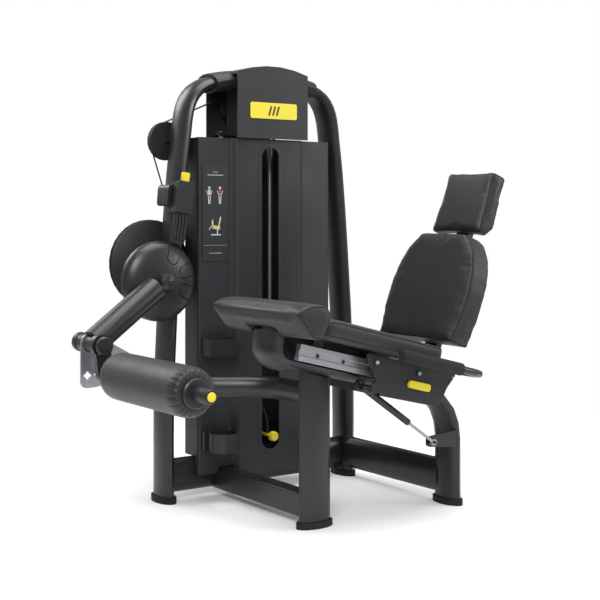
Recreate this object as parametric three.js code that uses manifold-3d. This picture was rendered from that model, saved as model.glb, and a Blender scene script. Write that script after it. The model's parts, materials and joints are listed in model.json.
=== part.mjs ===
// Leg extension machine: a selectorised gym machine with an enclosed weight stack, an arched frame, a lever
// with a shin roller, and a seat whose back slides on inclined rails.
// Millimetres, +Z up. +X runs from the lever to the backrest, +Y from the seat to the weight tower.
import * as THREE from 'three';
import { mergeVertices } from 'three/addons/utils/BufferGeometryUtils.js';
import Module from 'manifold-3d';

const wasm = await Module();
wasm.setup();

// ---- driving dimensions -------------------------------------------------------------------------------------
const GAP = 0.3; // clearance wherever two pieces touch
const ARC = 3; // fineness of a rounded corner
const OVAL_ARC = 7; // half the number of sides of an oval tube
const ROUND = 20; // sides of a turned part
const SEAT_Y = -570; // the user's centre plane
const TUBE = { long: 116, thick: 50 }; // oval frame tube
const NECK = { long: 150, thick: 74 };
const FOOT = { long: 132, wide: 66, high: 20 };
const LEG_X = 382; // arch legs at the floor
const FRONT_LEG_X = -165;
const SEAT_LEG_X = 391;
const BASE_TUBE_Z = 84; // centre height of the tubes near the floor
const SIDE_BEAM = { wide: 60, high: 76, z: 62 };
const BRACE = { high: 72, thick: 50, z: 408, bends: [-190, -345] };

const SEAT_SLOPE = THREE.MathUtils.degToRad(14);
const RAIL = { x: -300, z: 562, long: 600, high: 50, thick: 22, offset: 100 };
const BEAM_DROP = 29; // seat beam's centre line below the rails' centre line
const SEAT_PAD = { start: 12, end: 498, half: 200, low: 58, high: 110 };
const BACK_SLOPE = THREE.MathUtils.degToRad(21.4);
const BACK = { x: 240, z: 576 }; // foot of the back pad's face
const HEAD = { front: 44, thick: 64, low: 380, high: 600, half: 124, taper: 10 };
const CARRIAGE = { offset: 150, thick: 8, pad: 84, lever: [412, -23] };
const HANDLE = { offset: 231, rise: 54, start: 300, end: 650, radius: 12.5, grip: 20 };
const SPRING = { y: SEAT_Y - 74, pin: [278, -57], foot: [262, 228], body: 11, rod: 5, tube: 240 };

const PIVOT = { x: -446, z: 751 }; // the lever's axis
const SHAFT = 16;
const HUB = { radius: 133, back: -64, rim: -88, front: -124 };
const CAM = { x: -395, z: 806, radius: 148, groove: 123, run: 134, y: 80, thick: 24 };
const CROSS = { x: -740, z: 572, radius: 27.5, near: -280, far: -126 };
const ARM = { inner: [-496, -146, 733], outer: [CROSS.x + 4, -196, CROSS.z + 4], long: 86, thick: 84 };
const INDEX_PLATE = { y: -185, thick: 6, radius: 137, hole: 99, edge: 34 };
const ROLLER = { x: -726, z: 489, radius: 71.5, far: -340, near: -796, axle: 12 };
const AXLE_END = ROLLER.near - 30;
const KNOB = { end: -879, recess: 13.8 };
const SELECTOR = { x: -373, y: -100, z: 973, wide: 48, long: 220, lean: THREE.MathUtils.degToRad(7.7) };
const CLAMP = { low: 4, high: 106, wall: 7 }; // along the selector

const REAR_PULLEY = { x: -330, z: 1226, radius: 67 };
const TOP_PULLEY = { x: -50, z: 1356, radius: 54 };
const STUB = { radius: 7 }; // axle stubs of the two pulleys
const CABLE = { radius: 3, y: CAM.y };

const SHROUD = {
  low: 82, high: 1236, half: 277, step: 150, panel: 134, front: -80, side: -55, facet: -58, wall: 4,
  slot: { half: 36, low: 147, high: 1207 },
};
const COVER = { half: 148, front: -100, back: 112, low: 1236.5, shoulder: 1466, top: 1491, wall: 5 };
const BADGE = { half: 98, low: 1306, high: 1362 };
const BIN = { half: 54, deep: 66, low: 492, high: 548, wall: 4 };
const HOLDER = { radius: 50, low: 168, high: 232, wall: 4 };
const STACK = { plates: 14, pitch: 25, low: 182, half: 150, deep: 120 };
const HEAD_PLATE = { thick: 34, neck: 62 };
const GUIDE_ROD = { x: 105, radius: 10, top: 1268 };
const PIN = { near: -110, radius: 17 };

// ---- materials ----------------------------------------------------------------------------------------------
const paint = (color, roughness, metalness) => new THREE.MeshStandardMaterial({ color, roughness, metalness });
const framePaint = () => paint(0x3a3c40, 0.42, 0.35);
const panelPaint = () => paint(0x33353a, 0.6, 0.1);
const blackPlastic = () => paint(0x1c1d20, 0.5, 0);
const upholstery = () => paint(0x24262a, 0.7, 0);
const yellowPlastic = () => paint(0xf2d81c, 0.45, 0);
const brushedMetal = () => paint(0xc9ccd0, 0.35, 0.9);
const darkSteel = () => paint(0x4a4c50, 0.45, 0.8);
const blackRubber = () => paint(0x17181a, 0.8, 0);

// ---- shapes -------------------------------------------------------------------------------------------------
const machine = new THREE.Group();

function addPart(name, geometry, material, parent = machine) {
  const mesh = new THREE.Mesh(geometry, material);
  mesh.name = name;
  parent.add(mesh);
  return mesh;
}

// An oval outline, its long side on the section's x axis.
function oval(long, thick) {
  return new THREE.Shape().absellipse(0, 0, long / 2, thick / 2, 0, Math.PI * 2);
}

function circle(radius) {
  return new THREE.Shape().absarc(0, 0, radius, 0, Math.PI * 2);
}

function polygon(points) {
  return new THREE.Shape(points.map(([x, y]) => new THREE.Vector2(x, y)));
}

// A polygon whose corners are rounded: each point is [x, y, radius].
function roundedPolygon(points) {
  const shape = new THREE.Shape();
  points.forEach(([x, y, radius = 0], i) => {
    const corner = new THREE.Vector2(x, y);
    const before = new THREE.Vector2(...points.at(i - 1).slice(0, 2)).sub(corner);
    const after = new THREE.Vector2(...points[(i + 1) % points.length].slice(0, 2)).sub(corner);
    const start = corner.clone().add(before.setLength(radius));
    const end = corner.clone().add(after.setLength(radius));
    if (i === 0) shape.moveTo(start.x, start.y);
    else shape.lineTo(start.x, start.y);
    if (radius > 0) shape.quadraticCurveTo(x, y, end.x, end.y);
  });
  shape.closePath();
  return shape;
}

// An outline in the X-Z plane, given thickness along Y from y0 to y1.
function plateXZ(shape, y0, y1, curveSegments = ARC) {
  const geometry = new THREE.ExtrudeGeometry(shape, { depth: y1 - y0, bevelEnabled: false, curveSegments });
  return geometry.rotateX(Math.PI / 2).translate(0, y1, 0);
}

// An outline in the X-Y plane, given height from z0 to z1.
function slabXY(shape, z0, z1, curveSegments = ARC) {
  const geometry = new THREE.ExtrudeGeometry(shape, { depth: z1 - z0, bevelEnabled: false, curveSegments });
  return geometry.translate(0, 0, z0);
}

// An outline in the Y-Z plane, given thickness along X from x0 to x1.
function plateYZ(shape, x0, x1, curveSegments = ARC) {
  const geometry = new THREE.ExtrudeGeometry(shape, { depth: x1 - x0, bevelEnabled: false, curveSegments });
  return geometry.rotateX(Math.PI / 2).rotateZ(Math.PI / 2).translate(x0, 0, 0);
}

function box(x0, x1, y0, y1, z0, z1) {
  const geometry = new THREE.BoxGeometry(x1 - x0, y1 - y0, z1 - z0);
  return geometry.translate((x0 + x1) / 2, (y0 + y1) / 2, (z0 + z1) / 2);
}

// A turned part about the Y axis through (x, z); the profile lists [radius, y].
function turnedY(profile, x, z, sides = ROUND) {
  const points = profile.map(([radius, y]) => new THREE.Vector2(radius, y));
  return new THREE.LatheGeometry(points, sides).translate(x, 0, z);
}

function rodY(radius, y0, y1, x, z, sides = ROUND) {
  return turnedY([[0, y0], [radius, y0], [radius, y1], [0, y1]], x, z, sides);
}

function rodZ(radius, z0, z1, x, y, sides = ROUND) {
  const geometry = new THREE.CylinderGeometry(radius, radius, z1 - z0, sides);
  return geometry.rotateX(Math.PI / 2).translate(x, y, (z0 + z1) / 2);
}

// A path through corner points, each inner corner rounded to its own cut-back distance.
function bentPath(points, cuts) {
  const path = new THREE.CurvePath();
  const corners = points.map((p) => new THREE.Vector3(...p));
  let from = corners[0];
  corners.slice(1, -1).forEach((corner, i) => {
    const towards = (other) => corner.clone().add(other.clone().sub(corner).setLength(cuts[i]));
    const start = towards(corners[i]);
    const end = towards(corners[i + 2]);
    path.add(new THREE.LineCurve3(from, start));
    path.add(new THREE.QuadraticBezierCurve3(start, corner, end));
    from = end;
  });
  path.add(new THREE.LineCurve3(from, corners.at(-1)));
  return path;
}

function sweep(section, path, steps, curveSegments = OVAL_ARC) {
  return new THREE.ExtrudeGeometry(section, { extrudePath: path, steps, bevelEnabled: false, curveSegments });
}

// ---- joining and cutting ------------------------------------------------------------------------------------
function solid(geometry) {
  const bare = geometry.clone();
  bare.deleteAttribute('normal');
  bare.deleteAttribute('uv');
  const merged = mergeVertices(bare, 1e-4);
  const mesh = new wasm.Mesh({
    numProp: 3,
    vertProperties: new Float32Array(merged.attributes.position.array),
    triVerts: new Uint32Array(merged.index.array),
  });
  return new wasm.Manifold(mesh);
}

function toGeometry(manifold) {
  const mesh = manifold.getMesh();
  const geometry = new THREE.BufferGeometry();
  geometry.setAttribute('position', new THREE.BufferAttribute(new Float32Array(mesh.vertProperties), 3));
  geometry.setIndex(new THREE.BufferAttribute(new Uint32Array(mesh.triVerts), 1));
  geometry.computeVertexNormals();
  return geometry;
}

const join = (...geometries) => toGeometry(geometries.map(solid).reduce((a, b) => a.add(b)));
const cut = (geometry, ...tools) =>
  toGeometry(tools.map(solid).reduce((a, b) => a.subtract(b), solid(geometry)));

// ---- arched frame -------------------------------------------------------------------------------------------
// A curve whose steps fall evenly between its own points, so that close points make a fine bend.
class StepCurve extends THREE.CatmullRomCurve3 {
  getUtoTmapping(u) {
    return u;
  }
}

function archPath(side) {
  const points = [
    [LEG_X, FOOT.high + GAP], [LEG_X - 1, 400], [355, 840], [331, 1124], [315, 1250], [306, 1316],
    [290, 1364], [262, 1400], [220, 1422], [160, 1436], [80, 1445], [2, 1448],
  ];
  return new StepCurve(points.map(([x, z]) => new THREE.Vector3(side * x, 0, z)));
}

const ARCH_STEPS = 22;
const grownTube = (grow) => oval(TUBE.long + 2 * grow, TUBE.thick + 2 * grow);
const archTube = (side, grow = 0) => sweep(grownTube(grow), archPath(side), ARCH_STEPS);
const upright = (grow, top) => slabXY(grownTube(grow), FOOT.high + GAP, top, OVAL_ARC);
const frontLeg = (grow) => upright(grow, RAIL.z).translate(FRONT_LEG_X, SEAT_Y, 0);
const rearLeg = (grow) =>
  upright(grow, BASE_TUBE_Z * 3).rotateZ(Math.PI / 2).translate(SEAT_LEG_X, SEAT_Y, 0);

function addFrame() {
  const stub = rodY(STUB.radius, 30, CABLE.y + 14, REAR_PULLEY.x, REAR_PULLEY.z, 12);
  addPart('arch_leg_left', join(archTube(-1), stub), framePaint());
  addPart('arch_leg_right', archTube(1), framePaint());

  const inner = LEG_X - TUBE.thick / 2 - 2 * GAP;
  const baseLine = new THREE.LineCurve3(
    new THREE.Vector3(-inner, 0, BASE_TUBE_Z),
    new THREE.Vector3(inner, 0, BASE_TUBE_Z),
  );
  const baseBeam = (grow) => sweep(grownTube(grow), baseLine, 1);
  addPart('base_beam', baseBeam(0), framePaint());

  const legNear = SEAT_Y + TUBE.thick / 4;
  const sideBeam = roundedPolygon([
    [-SIDE_BEAM.wide / 2, SIDE_BEAM.z - SIDE_BEAM.high / 2, 8],
    [SIDE_BEAM.wide / 2, SIDE_BEAM.z - SIDE_BEAM.high / 2, 8],
    [SIDE_BEAM.wide / 2, SIDE_BEAM.z + SIDE_BEAM.high / 2, 8],
    [-SIDE_BEAM.wide / 2, SIDE_BEAM.z + SIDE_BEAM.high / 2, 8],
  ]);
  const beam = plateXZ(sideBeam, legNear, -TUBE.thick / 4, 3).translate(FRONT_LEG_X, 0, 0);
  addPart('side_beam', cut(beam, frontLeg(GAP), baseBeam(GAP)), framePaint());

  const linkLine = new THREE.LineCurve3(
    new THREE.Vector3(SEAT_LEG_X - 2, SEAT_Y + TUBE.long / 4, BASE_TUBE_Z + 4),
    new THREE.Vector3(LEG_X + 2, -TUBE.long / 4, BASE_TUBE_Z + 4),
  );
  const link = sweep(grownTube(0), linkLine, 1);
  addPart('rear_link_tube', cut(link, archTube(1, GAP), rearLeg(GAP)), framePaint());

  const bracePath = bentPath(
    [
      [-LEG_X + 6, -TUBE.long / 4, BRACE.z],
      [-LEG_X + 6, BRACE.bends[0], BRACE.z],
      [FRONT_LEG_X, BRACE.bends[1], BRACE.z],
      [FRONT_LEG_X, legNear, BRACE.z],
    ],
    [60, 60],
  );
  const brace = sweep(oval(BRACE.high, BRACE.thick), bracePath, 16);
  addPart('mid_brace', cut(brace, archTube(-1, GAP), frontLeg(GAP)), framePaint());
}

function addFeet() {
  const alongY = () => oval(FOOT.long, FOOT.wide);
  const feet = [
    ['foot_arch_left', -LEG_X, 0, true],
    ['foot_arch_right', LEG_X, 0, true],
    ['foot_front', FRONT_LEG_X, SEAT_Y, false],
    ['foot_rear', SEAT_LEG_X, SEAT_Y, true],
  ];
  for (const [name, x, y, turned] of feet) {
    const foot = addPart(name, slabXY(alongY(), 0, FOOT.high, OVAL_ARC + 1), blackRubber());
    foot.position.set(x, y, 0);
    foot.rotation.z = turned ? Math.PI / 2 : 0;
  }
}

// ---- seat frame ---------------------------------------------------------------------------------------------
// Points beside the rails: s runs down the slope from the rails' front end, h stands off their centre line.
const alongSeat = new THREE.Vector2(Math.cos(SEAT_SLOPE), -Math.sin(SEAT_SLOPE));
const offSeat = new THREE.Vector2(Math.sin(SEAT_SLOPE), Math.cos(SEAT_SLOPE));
function seatPoint(s, h) {
  const x = RAIL.x + s * alongSeat.x + h * offSeat.x;
  const z = RAIL.z + s * alongSeat.y + h * offSeat.y;
  return [x, z];
}

// Sits in the machine at the rails' front end, turned to their slope: its x is s and its z is h.
const seatGroup = new THREE.Group();
seatGroup.position.set(RAIL.x, SEAT_Y, RAIL.z);
seatGroup.rotation.y = SEAT_SLOPE;
machine.add(seatGroup);

const inSeatFrame = (geometry) =>
  geometry.rotateY(SEAT_SLOPE).translate(RAIL.x, SEAT_Y, RAIL.z);

function seatBeamPath() {
  const [kneeX, kneeZ] = seatPoint(6, -BEAM_DROP);
  const slopeAtLeg = (SEAT_LEG_X - RAIL.x + BEAM_DROP * offSeat.x) / alongSeat.x;
  const [, cornerZ] = seatPoint(slopeAtLeg, -BEAM_DROP);
  return bentPath(
    [
      [SEAT_LEG_X, SEAT_Y, FOOT.high + GAP],
      [SEAT_LEG_X, SEAT_Y, cornerZ],
      [kneeX, SEAT_Y, kneeZ],
    ],
    [150],
  );
}

function addSeatFrame() {
  const [footX, footZ] = SPRING.foot;
  const springPlate = roundedPolygon([
    [footX - 16, footZ - 16, 12], [SEAT_LEG_X - 18, footZ - 30, 6],
    [SEAT_LEG_X - 18, footZ + 26, 6], [footX - 16, footZ + 16, 12],
  ]);
  const plateNear = SEAT_Y - TUBE.long / 2 - 3;
  const springBracket = join(
    plateXZ(springPlate, plateNear, plateNear + 8, 4),
    rodY(5, SPRING.y - 10, plateNear + 4, footX, footZ, 16),
    box(SEAT_LEG_X - 24, SEAT_LEG_X - 18, plateNear + 2, SEAT_Y - 20, footZ - 26, footZ + 22),
  );
  addPart('seat_beam', join(sweep(grownTube(0), seatBeamPath(), 20), springBracket), framePaint());

  // The front end of the beam turns up under the knee bolster.
  const [kneeX, kneeZ] = seatPoint(6 - GAP, -BEAM_DROP);
  const [turnX, turnZ] = seatPoint(-36, -BEAM_DROP);
  const neckPath = bentPath(
    [[kneeX, SEAT_Y, kneeZ], [turnX, SEAT_Y, turnZ], [turnX + 14, SEAT_Y, turnZ + 76]],
    [34],
  );
  addPart('bolster_neck', sweep(oval(NECK.long, NECK.thick), neckPath, 7), framePaint());

  const underBeam = BEAM_DROP + TUBE.thick / 2 + GAP;
  const above = inSeatFrame(box(-200, 600, -200, 200, -underBeam, 400));
  addPart('front_leg', cut(frontLeg(0), above), framePaint());

  for (const [name, side] of [['rail_near', -1], ['rail_far', 1]]) {
    addPart(name, railGeometry(), brushedMetal(), seatGroup).position.y = side * RAIL.offset;
  }
  addPart('seat_pan', seatPanGeometry(), framePaint(), seatGroup);
}

// An extruded rail with a running groove on each side.
function railGeometry() {
  const half = RAIL.thick / 2;
  const top = RAIL.high / 2;
  const groove = 3;
  const section = polygon([
    [-half, -top], [half, -top], [half, -9], [half - groove, -7], [half - groove, 7], [half, 9],
    [half, top], [-half, top], [-half, 9], [-half + groove, 7], [-half + groove, -7], [-half, -9],
  ]);
  const geometry = new THREE.ExtrudeGeometry(section, { depth: RAIL.long, bevelEnabled: false });
  return geometry.rotateZ(Math.PI / 2).rotateY(Math.PI / 2);
}

// Pan under the cushion, its two cross blocks between the rails, and the webs down to the beam.
function seatPanGeometry() {
  const panLow = SEAT_PAD.low - 8;
  const slotHalf = 42;
  const innerRail = RAIL.offset - RAIL.thick / 2 - GAP;
  const beamTop = -BEAM_DROP + TUBE.thick / 2 + GAP;
  const pan = roundedPolygon([
    [SEAT_PAD.start + 30, -130, 20], [SEAT_PAD.end - 190, -130, 10], [SEAT_PAD.end - 190, 130, 10],
    [SEAT_PAD.start + 30, 130, 20],
  ]);
  const blocks = [60, 240].map((s) => box(s, s + 40, -innerRail, innerRail, beamTop, panLow + 1));
  const webs = [-1, 1].flatMap((side) =>
    [60, 240].map((s) => {
      const y = side * (innerRail - 6);
      return box(s, s + 40, Math.min(y, side * 50), Math.max(y, side * 50), beamTop, panLow + 1);
    }));
  const rearTongues = [-1, 1].map((side) => {
    const near = side * slotHalf;
    const far = side * 130;
    return box(300, 470, Math.min(near, far), Math.max(near, far), panLow + 2, SEAT_PAD.low - 1);
  });
  return join(slabXY(pan, panLow, SEAT_PAD.low - 1, 4), ...blocks, ...webs, ...rearTongues);
}

// ---- seat upholstery ----------------------------------------------------------------------------------------
function addCushions() {
  const slotHalf = 40;
  const slotStart = 300;
  const r = 30;
  const outline = roundedPolygon([
    [SEAT_PAD.start, -SEAT_PAD.half, r], [SEAT_PAD.end, -SEAT_PAD.half, r], [SEAT_PAD.end, -slotHalf, 12],
    [slotStart, -slotHalf, 20], [slotStart, slotHalf, 20], [SEAT_PAD.end, slotHalf, 12],
    [SEAT_PAD.end, SEAT_PAD.half, r], [SEAT_PAD.start, SEAT_PAD.half, r],
  ]);
  addPart('seat_cushion', slabXY(outline, SEAT_PAD.low, SEAT_PAD.high, 4), upholstery(), seatGroup);

  const bolster = roundedPolygon([
    [-402, 690, 8], [-352, 712, 26], [-284, 706, 20], [-276, 668, 10], [-306, 604, 10], [-344, 614, 12],
  ]);
  const neckHalf = NECK.long / 2 + GAP;
  const neckTop = inSeatFrame(box(-120, 40, -neckHalf, neckHalf, -60, 62));
  const pad = plateXZ(bolster, SEAT_Y - 242, SEAT_Y + 242, 4);
  addPart('knee_bolster', cut(pad, neckTop), upholstery());
}

// ---- weight tower -------------------------------------------------------------------------------------------
const stackTop = STACK.low + STACK.plates * STACK.pitch;
const stackNear = CABLE.y - STACK.deep / 2;
const stackFar = CABLE.y + STACK.deep / 2;
const beamTop = BASE_TUBE_Z + TUBE.long / 2 + GAP;

function frontShroud() {
  const { half, step, panel, front, side, facet, low, high, wall, slot } = SHROUD;
  const leftSide = [[-half, side + 22, 0], [-half, side, 9], [-step, facet, 4], [-panel, front, 9]];
  const rightSide = [...leftSide].reverse().map(([x, y, radius]) => [-x, y, radius]);
  const outer = [...leftSide, ...rightSide];
  const inwards = ([x, y, radius]) => [x - Math.sign(x) * wall, y + wall, radius * 0.7];
  const inner = [...outer].reverse().map(inwards);
  const sheet = slabXY(roundedPolygon([...outer, ...inner]), low, high);
  const opening = roundedPolygon([
    [-slot.half, slot.low, slot.half - 2], [slot.half, slot.low, slot.half - 2],
    [slot.half, slot.high, slot.half - 2], [-slot.half, slot.high, slot.half - 2],
  ]);
  const reach = SIDE_BEAM.wide / 2 + 2;
  const notchTop = SIDE_BEAM.z + SIDE_BEAM.high / 2 + 3;
  const notch = box(FRONT_LEG_X - reach, FRONT_LEG_X + reach, front - 10, 0, 0, notchTop);
  return cut(sheet, plateXZ(opening, front - 20, front + 20, 4), notch);
}

function backShroud() {
  const { half, high, wall } = SHROUD;
  const wide = half - 5;
  const rear = stackFar + 26;
  const outer = [
    [-wide, -26], [-wide, 46], [-205, 63], [-193, rear], [193, rear], [205, 63], [wide, 46], [wide, -26],
  ];
  const inner = [...outer].reverse().map(([x, y]) => [x - Math.sign(x) * wall, y > 0 ? y - wall : y]);
  return slabXY(polygon([...outer, ...inner]), beamTop, high);
}

// Things fixed to the shroud's left facet are laid out upright with the facet at y = 0, then turned onto it.
function onLeftFacet(geometry) {
  const { half, step, side, facet } = SHROUD;
  const angle = Math.atan2(facet - side, half - step);
  return geometry.rotateZ(angle).translate(-(half + step) / 2, (facet + side) / 2, 0);
}

function accessoryBin() {
  const { half, deep, low, high, wall } = BIN;
  const tray = box(-half, half, -deep, -GAP, low, high);
  const hollow = box(-half + wall, half - wall, -deep + wall, -GAP - wall, low + wall, high + wall);
  return onLeftFacet(cut(tray, hollow));
}

function bottleHolder() {
  const { radius, low, high, wall } = HOLDER;
  const middle = -radius - 8;
  const cup = rodZ(radius, low, high, 0, middle);
  const back = box(-radius - 4, radius + 4, -22, -GAP, low, high);
  const hollow = rodZ(radius - wall, low + wall, high + wall, 0, middle);
  return onLeftFacet(cut(join(cup, back), hollow));
}

function addTower() {
  addPart('shroud_front', frontShroud(), panelPaint());
  addPart('shroud_back', backShroud(), panelPaint());
  const plate = roundedPolygon([[-50, 812, 5], [50, 812, 5], [50, 1140, 5], [-50, 1140, 5]]);
  addPart('placard', onLeftFacet(plateXZ(plate, -3, -GAP, 2)), panelPaint());
  addPart('accessory_bin', accessoryBin(), blackPlastic());
  addPart('bottle_holder', bottleHolder(), blackPlastic());
}

// ---- top cover ----------------------------------------------------------------------------------------------
// A stretch of the arch's own line, from one fraction of its steps to another.
function archStretch(side, from, to) {
  const whole = archPath(side);
  const points = Array.from({ length: 7 }, (_, i) => whole.getPointAt(from + ((to - from) * i) / 6));
  return new THREE.CatmullRomCurve3(points);
}

// A hood with an inverted-U section over the top of the arch, and a sleeve on each side round the tube.
function coverGeometry() {
  const { half, front, back, low, shoulder, top, wall } = COVER;
  const outline = new THREE.Shape();
  outline.moveTo(-half, low);
  outline.lineTo(half, low);
  outline.lineTo(half, shoulder);
  outline.quadraticCurveTo(0, 2 * top - shoulder, -half, shoulder);
  outline.closePath();
  const hood = plateXZ(outline, front, back, 5);
  const ceiling = shoulder - 14;
  const side = half + 20;
  const room = polygon([
    [-side, low - 10], [side, low - 10], [side, ceiling], [half * 0.6, ceiling + 20], [0, top - 14],
    [-half * 0.6, ceiling + 20], [-side, ceiling],
  ]);
  const sleeve = oval(TUBE.long + 26, TUBE.thick + 20);
  const sleeves = [-1, 1].map((s) => sweep(sleeve, archStretch(s, 0.745, 0.864), 6));
  const tubes = [-1, 1].map((s) => archTube(s, GAP));
  const joint = box(-8, 8, -TUBE.long / 2 - GAP, TUBE.long / 2 + GAP, 1400, top - 14);
  return cut(join(cut(hood, plateXZ(room, front + wall, back - wall)), ...sleeves), ...tubes, joint);
}

function addCover() {
  addPart('top_cover', coverGeometry(), panelPaint());
  const { half, low, high } = BADGE;
  const badge = roundedPolygon([[-half, low, 8], [half, low, 8], [half, high, 8], [-half, high, 8]]);
  const front = COVER.front - GAP;
  addPart('badge_plate', plateXZ(badge, front - 3, front, 3), yellowPlastic());
}

// ---- weight stack -------------------------------------------------------------------------------------------
// The lifted plates as one block, with a V groove at every joint between two plates.
function plateColumn() {
  const { half, low, pitch, plates } = STACK;
  const groove = 1.5;
  const joints = Array.from({ length: plates - 1 }, (_, i) => low + (i + 1) * pitch);
  const farSide = joints.flatMap((z) => [[stackFar, z - groove], [stackFar - groove, z], [stackFar, z + groove]]);
  const nearSide = [...farSide].reverse().map(([y, z]) => [2 * CABLE.y - y, z]);
  const outline = polygon([
    [stackNear, low], [stackFar, low], ...farSide, [stackFar, stackTop], [stackNear, stackTop], ...nearSide,
  ]);
  return plateYZ(outline, -half, half);
}

const guideHoles = (radius, low, high) =>
  [-1, 1].map((side) => rodZ(radius, low, high, side * GUIDE_ROD.x, CABLE.y, 12));

function addStack() {
  const { half } = STACK;
  const pinZ = STACK.low + STACK.pitch / 2;
  const slack = GUIDE_ROD.radius + 2;
  const pinHole = rodY(6, 0, CABLE.y + 20, 0, pinZ, 12);
  addPart('weight_plates', cut(plateColumn(), ...guideHoles(slack, 100, 600), pinHole), darkSteel());

  const headBase = stackTop + GAP;
  const head = box(-half, half, stackNear, stackFar, headBase, headBase + HEAD_PLATE.thick);
  const neck = rodZ(13, headBase + HEAD_PLATE.thick - 2, headBase + HEAD_PLATE.neck, 0, CABLE.y, 12);
  addPart('head_plate', cut(join(head, neck), ...guideHoles(slack, 500, 700)), darkSteel());

  for (const [name, side] of [['guide_rod_left', -1], ['guide_rod_right', 1]]) {
    const rod = rodZ(GUIDE_ROD.radius, beamTop + GAP, GUIDE_ROD.top, side * GUIDE_ROD.x, CABLE.y, 12);
    addPart(name, rod, brushedMetal());
  }
  const snug = GUIDE_ROD.radius + GAP;
  const shelfTop = beamTop + 8;
  const shelf = box(-half - 10, half + 10, -20, stackFar - 4, beamTop, shelfTop);
  addPart('stack_shelf', cut(shelf, ...guideHoles(snug, 100, 200)), framePaint());
  const buffer = box(-half + 10, half - 10, stackNear + 20, stackFar - 20, shelfTop + GAP, STACK.low - GAP);
  addPart('stack_buffer', cut(buffer, ...guideHoles(slack, 100, 200)), blackRubber());

  addPart('selector_pin', turnedY([
    [0, PIN.near], [PIN.radius - 3, PIN.near], [PIN.radius, PIN.near + 5], [PIN.radius, PIN.near + 18],
    [5.6, PIN.near + 22], [5.6, CABLE.y + 8], [0, CABLE.y + 14],
  ], 0, pinZ, 16), yellowPlastic());
  const hang = stackNear - 44;
  const pinTop = pinZ + 5.6 + GAP;
  const tether = bentPath(
    [
      [-14, stackNear - GAP, headBase + 18], [-14, hang, headBase + 18], [-14, hang, pinTop + 120],
      [0, -60, pinTop + 50], [0, -60, pinTop],
    ],
    [30, 50, 25],
  );
  addPart('pin_tether', sweep(circle(5), tether, 20, 4), blackRubber());
}

// ---- pulleys and cable --------------------------------------------------------------------------------------
// Each wheel the cable runs on, with the cable's radius on it and the sense the cable turns round it.
const WHEELS = {
  top: { ...TOP_PULLEY, run: TOP_PULLEY.radius - 4, turn: 1 },
  rear: { ...REAR_PULLEY, run: REAR_PULLEY.radius - 5, turn: 1 },
  cam: { ...CAM, turn: -1 },
};

// Where the cable leaves wheel a and meets wheel b.
function tangent(a, b) {
  const towards = new THREE.Vector2(b.x - a.x, b.z - a.z);
  const offset = b.turn * b.run - a.turn * a.run;
  const heading = towards.angle() - Math.asin(offset / towards.length());
  const left = new THREE.Vector2(-Math.sin(heading), Math.cos(heading));
  const touch = (wheel) => new THREE.Vector2(wheel.x, wheel.z).addScaledVector(left, -wheel.turn * wheel.run);
  return [a, b].map(touch);
}

// Points on the cable where it goes round a wheel, from one touching point to the other.
function arcRound(wheel, from, to, count) {
  const angleOf = (point) => Math.atan2(point.y - wheel.z, point.x - wheel.x);
  const start = angleOf(from);
  const turn = THREE.MathUtils.euclideanModulo(angleOf(to) - start, Math.PI * 2);
  return Array.from({ length: count + 1 }, (_, i) => {
    const angle = start + (turn * i) / count;
    const x = wheel.x + wheel.run * Math.cos(angle);
    return new THREE.Vector3(x, CABLE.y, wheel.z + wheel.run * Math.sin(angle));
  });
}

function cableGeometry() {
  const { top, rear, cam } = WHEELS;
  const [leave, meet] = tangent(top, rear);
  const [drop, end] = tangent(rear, cam);
  const riser = new THREE.Vector2(top.x + top.run, top.z + GAP);
  const points = [
    ...arcRound(top, riser, leave, 8),
    ...arcRound(rear, meet, drop, 8),
    new THREE.Vector3(end.x, CABLE.y, end.y),
  ];
  const path = new THREE.CurvePath();
  points.slice(1).forEach((point, i) => path.add(new THREE.LineCurve3(points[i], point)));
  return sweep(circle(CABLE.radius), path, 48, 2);
}

function pulley(wheel, thick, bore) {
  const half = thick / 2;
  const floor = wheel.run - CABLE.radius - 2;
  const { y } = CABLE;
  return turnedY([
    [bore, y - half], [wheel.radius, y - half], [wheel.radius, y - half + 2], [floor, y - 4], [floor, y + 4],
    [wheel.radius, y + half - 2], [wheel.radius, y + half], [bore, y + half], [bore, y - half],
  ], wheel.x, wheel.z, 22);
}

function addPulleys() {
  const { top, rear } = WHEELS;
  addPart('rear_pulley', pulley(rear, 20, STUB.radius + GAP), blackPlastic());
  addPart('top_pulley', pulley(top, 18, STUB.radius + GAP), blackPlastic());

  const tubeRear = TUBE.long / 2 + GAP;
  const barLow = GUIDE_ROD.top - 14;
  const plate = roundedPolygon([
    [top.x - 40, barLow, 4], [top.x + 40, barLow, 4], [top.x + 40, 1452, 6], [top.x - 40, 1452, 6],
  ]);
  const hanger = join(
    plateXZ(plate, tubeRear, tubeRear + 6, 3),
    rodY(STUB.radius, tubeRear + 3, CABLE.y + 14, top.x, top.z, 12),
    box(-125, 125, tubeRear, CABLE.y + 20, barLow, barLow + 12),
  );
  const cableHole = rodZ(8, barLow - 10, barLow + 20, 0, CABLE.y, 12);
  const rodHoles = guideHoles(GUIDE_ROD.radius + GAP, barLow - 10, barLow + 20);
  addPart('pulley_bracket', cut(hanger, cableHole, ...rodHoles), darkSteel());

  addPart('side_cable', cableGeometry(), blackRubber());
  const liftLow = stackTop + HEAD_PLATE.neck + 2 * GAP;
  addPart('lift_cable', rodZ(CABLE.radius, liftLow, top.z - 2, top.x + top.run, CABLE.y, 8), blackRubber());
}

// ---- lever --------------------------------------------------------------------------------------------------
const shaftBore = (y0, y1) => rodY(SHAFT + GAP, y0, y1, PIVOT.x, PIVOT.z, 16);

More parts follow.
